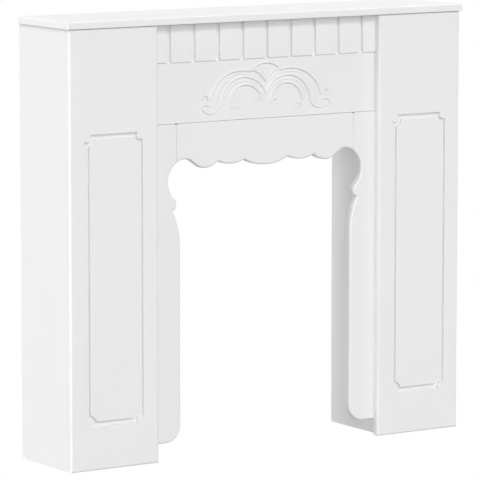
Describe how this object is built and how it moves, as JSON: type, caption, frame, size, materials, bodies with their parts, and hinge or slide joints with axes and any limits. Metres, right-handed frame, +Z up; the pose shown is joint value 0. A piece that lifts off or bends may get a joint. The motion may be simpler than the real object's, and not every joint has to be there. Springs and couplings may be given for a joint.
{
  "type": "fireplace mantelpiece",
  "caption": "White mantelpiece: shelf on hollow pilasters, frieze with raised planks and a carved scroll, shaped cheeks and a scalloped apron round the fire opening.",
  "frame": {"origin": "middle of the bounding box's underside, on the floor", "axes": "+X to the right seen from the front, +Y from the front towards the wall, +Z up"},
  "size_m": [1, 0.21, 0.94],
  "materials": {
    "shelf_film": "satin white film on board",
    "front_film": "satin white film wrapped over routed board",
    "side_film": "satin white film on board"
  },
  "bodies": {
    "root": {"mantel_shelf": "shelf_film", "left_pilaster_front": "front_film", "right_pilaster_front": "front_film", "left_outer_side": "side_film", "right_outer_side": "side_film", "left_inner_side": "side_film", "right_inner_side": "side_film", "frieze_panel": "front_film", "left_cheek": "front_film", "right_cheek": "front_film", "apron": "front_film"}
  },
  "joints": []
}
